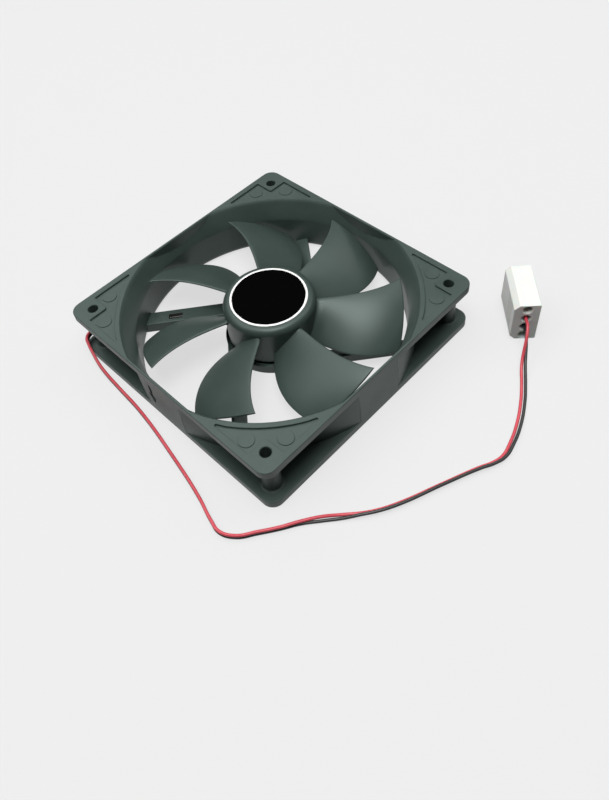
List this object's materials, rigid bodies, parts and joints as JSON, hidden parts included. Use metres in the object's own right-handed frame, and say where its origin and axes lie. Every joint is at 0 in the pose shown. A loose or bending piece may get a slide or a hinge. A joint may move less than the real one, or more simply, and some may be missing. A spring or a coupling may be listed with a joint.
{
  "type": "case fan",
  "caption": "Square axial cooling fan for a computer case, with a bladed rotor on a sleeve-bearing motor and a two-wire lead that ends in a white plug.",
  "frame": {"origin": "middle of the exhaust face, on the plane that the fan lies on", "axes": "+Z along the rotor's axis from the exhaust face to the intake face; +X and +Y along the sides of the square frame"},
  "size_m": [0.1702, 0.1658, 0.025],
  "materials": {
    "housing_plastic": "satin moulded",
    "impeller_plastic": "satin moulded",
    "brass": "turned",
    "sintered_bronze": "sintered, oiled",
    "black_rubber": "matte",
    "natural_nylon": "satin",
    "lamination_steel": "punched",
    "copper_winding": "enamelled",
    "board_laminate": "solder mask",
    "chip_epoxy": "moulded",
    "capacitor_ceramic": "fired",
    "tinned_contact": "bright tin",
    "silver_label": "printed film",
    "hub_sticker": "black disc with a white rim",
    "red_wire": "pvc",
    "black_wire": "pvc",
    "connector_nylon": "natural nylon",
    "pressed_steel": "zinc plated",
    "magnet_rubber": "bonded ferrite",
    "ground_steel": "ground"
  },
  "bodies": {
    "frame": {"frame_housing": "housing_plastic", "bearing_tube": "brass", "sleeve_bearing": "sintered_bronze", "oil_ring": "black_rubber", "thrust_washer": "natural_nylon", "stator_core": "lamination_steel", "insulator_top": "natural_nylon", "insulator_bottom": "natural_nylon", "coil_1": "copper_winding", "coil_2": "copper_winding", "coil_3": "copper_winding", "coil_4": "copper_winding", "circuit_board": "board_laminate", "hall_sensor": "chip_epoxy", "driver_chip": "chip_epoxy", "capacitor": "capacitor_ceramic", "reverse_diode": "chip_epoxy", "terminal_pin_1": "tinned_contact", "terminal_pin_2": "tinned_contact", "terminal_pin_3": "tinned_contact", "base_label": "silver_label", "inner_lead_red": "red_wire", "inner_lead_black": "black_wire", "lead_red": "red_wire", "lead_black": "black_wire", "connector_housing": "connector_nylon", "contact_red": "tinned_contact", "contact_black": "tinned_contact"},
    "rotor": {"impeller": "impeller_plastic", "rotor_yoke": "pressed_steel", "ring_magnet": "magnet_rubber", "shaft": "ground_steel", "retaining_clip": "natural_nylon", "hub_label": "hub_sticker"}
  },
  "joints": [
    {"name": "rotor_spin", "type": "hinge", "parent": "frame", "child": "rotor", "pos_m": [0, 0, 0.011], "axis": [0, 0, 1], "continuous": true}
  ]
}
